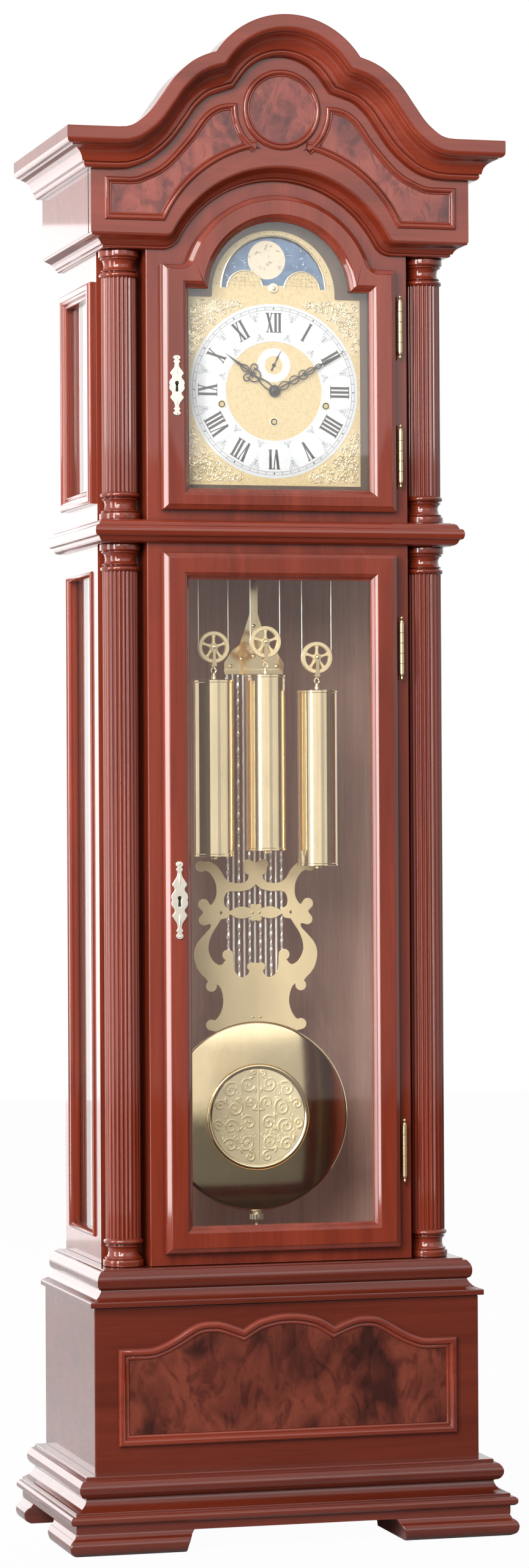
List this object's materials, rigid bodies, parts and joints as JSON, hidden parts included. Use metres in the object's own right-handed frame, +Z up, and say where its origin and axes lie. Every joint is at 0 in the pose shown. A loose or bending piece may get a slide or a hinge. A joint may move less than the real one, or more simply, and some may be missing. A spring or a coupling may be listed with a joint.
{
  "type": "longcase clock",
  "caption": "Longcase clock with broken-arch pediment, fluted corner columns, hinged glazed doors, moon-phase dial, cable-hung weights and a swinging lyre pendulum.",
  "frame": {"origin": "on the floor, at the middle of the plan", "axes": "+Z up, -Y towards the viewer in front of the clock, +X to that viewer's right"},
  "size_m": [0.6382, 0.3608, 2.1],
  "materials": {
    "mahogany": "gloss lacquer",
    "burl": "gloss lacquered burl veneer",
    "dark_wood": "matt stain",
    "brass": "polished",
    "satin_brass": "satin",
    "dial": "ivory and gilt",
    "black_steel": "black",
    "moon_blue": "painted",
    "glass": "clear",
    "steel_cable": "stranded"
  },
  "bodies": {
    "case": {"foot_front_left": "mahogany", "foot_front_right": "mahogany", "foot_back_left": "mahogany", "foot_back_right": "mahogany", "base_carcass": "mahogany", "base_panel": "burl", "base_panel_moulding": "mahogany", "plinth_moulding": "mahogany", "base_cap": "mahogany", "face_frame": "mahogany", "case_side_left": "mahogany", "case_side_right": "mahogany", "back_panel": "dark_wood", "waist_moulding": "mahogany", "trunk_side_glass_left": "glass", "trunk_side_glass_right": "glass", "hood_window_frame_left": "mahogany", "hood_window_frame_right": "mahogany", "hood_side_glass_left": "glass", "hood_side_glass_right": "glass", "pediment_box": "mahogany", "crown_moulding": "mahogany", "hood_column_left": "mahogany", "hood_column_right": "mahogany", "trunk_column_left": "mahogany", "trunk_column_right": "mahogany", "hood_hinge_upper": "brass", "hood_hinge_lower": "brass", "trunk_hinge_upper": "brass", "trunk_hinge_lower": "brass", "dial_plate": "dial", "seat_board": "dark_wood", "movement_frame": "brass", "cable_left": "steel_cable", "cable_centre": "steel_cable", "cable_right": "steel_cable"},
    "hood_door": {"hood_door": "mahogany", "hood_door_glass": "glass", "hood_escutcheon": "brass"},
    "trunk_door": {"trunk_door": "mahogany", "trunk_door_glass": "glass", "trunk_escutcheon": "brass"},
    "pendulum": {"pendulum_rod": "brass", "lyre": "satin_brass", "bob": "brass", "anchor": "brass"},
    "rating_nut": {"rating_nut": "brass"},
    "seconds_hand": {"seconds_hand": "black_steel"},
    "minute_hand": {"minute_hand": "black_steel"},
    "hour_hand": {"hour_hand": "black_steel"},
    "moon_disc": {"moon_disc": "moon_blue"},
    "weight_left": {"weight_left": "brass"},
    "weight_centre": {"weight_centre": "brass"},
    "weight_right": {"weight_right": "brass"},
    "pulley_left": {"pulley_left": "brass"},
    "pulley_centre": {"pulley_centre": "brass"},
    "pulley_right": {"pulley_right": "brass"},
    "drum_left": {"drum_left": "brass"},
    "drum_centre": {"drum_centre": "brass"},
    "drum_right": {"drum_right": "brass"}
  },
  "joints": [
    {"name": "hood_door_hinge", "type": "hinge", "parent": "case", "child": "hood_door", "pos_m": [0.1748, -0.1138, 1.4085], "axis": [0, 0, 1], "range_deg": [0, 100]},
    {"name": "trunk_door_hinge", "type": "hinge", "parent": "case", "child": "trunk_door", "pos_m": [0.1748, -0.1138, 0.399], "axis": [0, 0, 1], "range_deg": [0, 110]},
    {"name": "pendulum_swing", "type": "hinge", "parent": "case", "child": "pendulum", "pos_m": [0, 0.0325, 1.65], "axis": [0, 1, 0], "range_deg": [-2.5, 2.5]},
    {"name": "rating_nut_turn", "type": "hinge", "parent": "pendulum", "child": "rating_nut", "pos_m": [0, 0.0325, 0.4412], "axis": [0, 0, 1], "continuous": true},
    {"name": "seconds_turn", "type": "hinge", "parent": "case", "child": "seconds_hand", "pos_m": [0, -0.0842, 1.6265], "axis": [0, 1, 0], "continuous": true},
    {"name": "minute_turn", "type": "hinge", "parent": "case", "child": "minute_hand", "pos_m": [0, -0.0842, 1.5905], "axis": [0, 1, 0], "continuous": true},
    {"name": "hour_turn", "type": "hinge", "parent": "case", "child": "hour_hand", "pos_m": [0, -0.0842, 1.5905], "axis": [0, 1, 0], "continuous": true},
    {"name": "moon_turn", "type": "hinge", "parent": "case", "child": "moon_disc", "pos_m": [0, -0.0822, 1.729], "axis": [0, 1, 0], "continuous": true},
    {"name": "weight_left_travel", "type": "slide", "parent": "case", "child": "weight_left", "axis": [0, 0, 1], "range_m": [-0.5, 0.2], "deforming": ["cable_left"]},
    {"name": "weight_centre_travel", "type": "slide", "parent": "case", "child": "weight_centre", "axis": [0, 0, 1], "range_m": [-0.5, 0.2], "deforming": ["cable_centre"]},
    {"name": "weight_right_travel", "type": "slide", "parent": "case", "child": "weight_right", "axis": [0, 0, 1], "range_m": [-0.5, 0.2], "deforming": ["cable_right"]},
    {"name": "pulley_left_turn", "type": "hinge", "parent": "weight_left", "child": "pulley_left", "pos_m": [-0.075, -0.0305, 1.236], "axis": [0, 1, 0], "continuous": true},
    {"name": "pulley_centre_turn", "type": "hinge", "parent": "weight_centre", "child": "pulley_centre", "pos_m": [0, -0.0305, 1.2437], "axis": [0, 1, 0], "continuous": true},
    {"name": "pulley_right_turn", "type": "hinge", "parent": "weight_right", "child": "pulley_right", "pos_m": [0.075, -0.0305, 1.222], "axis": [0, 1, 0], "continuous": true},
    {"name": "drum_left_turn", "type": "hinge", "parent": "case", "child": "drum_left", "pos_m": [-0.075, -0.0305, 1.571], "axis": [0, 1, 0], "continuous": true},
    {"name": "drum_centre_turn", "type": "hinge", "parent": "case", "child": "drum_centre", "pos_m": [0, -0.0305, 1.5476], "axis": [0, 1, 0], "continuous": true},
    {"name": "drum_right_turn", "type": "hinge", "parent": "case", "child": "drum_right", "pos_m": [0.075, -0.0305, 1.571], "axis": [0, 1, 0], "continuous": true}
  ],
  "couplings": [
    {"joint": "minute_turn", "follows": "seconds_turn", "ratio": 0.016667},
    {"joint": "hour_turn", "follows": "seconds_turn", "ratio": 0.0013889},
    {"joint": "pulley_left_turn", "follows": "weight_left_travel", "rad_per_m": -46.729},
    {"joint": "pulley_centre_turn", "follows": "weight_centre_travel", "rad_per_m": -46.729},
    {"joint": "pulley_right_turn", "follows": "weight_right_travel", "rad_per_m": -46.729},
    {"joint": "drum_left_turn", "follows": "weight_left_travel", "rad_per_m": -93.458},
    {"joint": "drum_centre_turn", "follows": "weight_centre_travel", "rad_per_m": -93.458},
    {"joint": "drum_right_turn", "follows": "weight_right_travel", "rad_per_m": -93.458}
  ]
}
